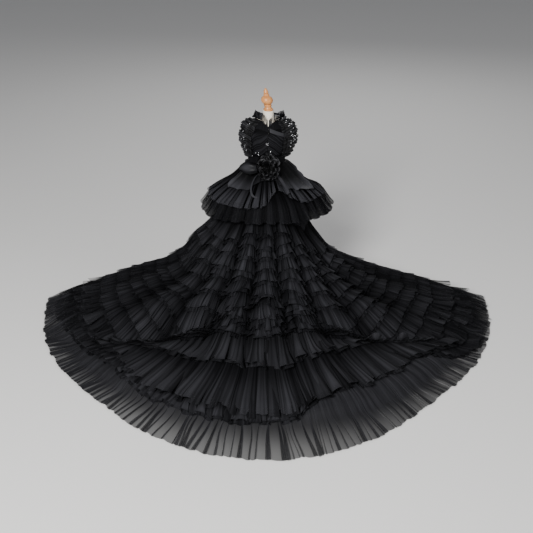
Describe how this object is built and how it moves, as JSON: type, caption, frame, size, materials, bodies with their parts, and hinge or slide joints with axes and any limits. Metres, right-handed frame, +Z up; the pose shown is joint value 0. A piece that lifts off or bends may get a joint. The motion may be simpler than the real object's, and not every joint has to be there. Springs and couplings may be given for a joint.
{
  "type": "dog wedding dress on dress form",
  "caption": "Black dog wedding dress of gathered tulle rows with a fanned train, a satin and tulle peplum and a waist rosette, worn by a small limbless tabletop dress form.",
  "frame": {"origin": "centre of the underside of the form's round base, on the surface it stands on", "axes": "+Z up along the form's pole, -Y towards the dress's front where the train lies, +X to the right seen from the front"},
  "size_m": [1.284, 0.81, 0.632],
  "materials": {
    "black_tulle": "matt black tulle net gathered into fine pleats, sheer where it is a single layer",
    "black_satin": "black satin with a soft sheen",
    "black_lace": "black lace and curled sheer fabric, with small beads on the frills",
    "cream_cloth": "plain cream cotton stretched over the form",
    "turned_wood": "pale turned wood with a satin varnish"
  },
  "bodies": {
    "root": {"form_base": "turned_wood", "form_pole": "turned_wood", "form_finial": "turned_wood", "form_torso": "cream_cloth", "bodice_left": "black_tulle", "bodice_right": "black_tulle", "bodice_back": "black_tulle", "drape_left": "black_tulle", "drape_right": "black_tulle", "neck_ruff": "black_tulle", "underskirt_gore_01": "black_tulle", "underskirt_gore_02": "black_tulle", "underskirt_gore_03": "black_tulle", "underskirt_gore_04": "black_tulle", "underskirt_gore_05": "black_tulle", "underskirt_gore_06": "black_tulle", "underskirt_gore_07": "black_tulle", "underskirt_gore_08": "black_tulle", "underskirt_gore_09": "black_tulle", "underskirt_gore_10": "black_tulle", "ruffle_01": "black_tulle", "ruffle_02": "black_tulle", "ruffle_03": "black_tulle", "ruffle_04": "black_tulle", "ruffle_05": "black_tulle", "ruffle_06": "black_tulle", "ruffle_07": "black_tulle", "ruffle_08": "black_tulle", "ruffle_09": "black_tulle", "ruffle_10": "black_tulle", "tier_top": "black_tulle", "tier_middle": "black_tulle", "tier_low": "black_tulle", "peplum_tulle_lower": "black_tulle", "peplum_tulle_upper": "black_tulle", "chest_strap": "black_satin", "peplum_satin": "black_satin", "bow_loop": "black_satin", "ribbon_tail_left": "black_satin", "ribbon_tail_right": "black_satin", "cap_frill_left": "black_lace", "cap_frill_right": "black_lace", "rosette": "black_lace"}
  },
  "joints": []
}
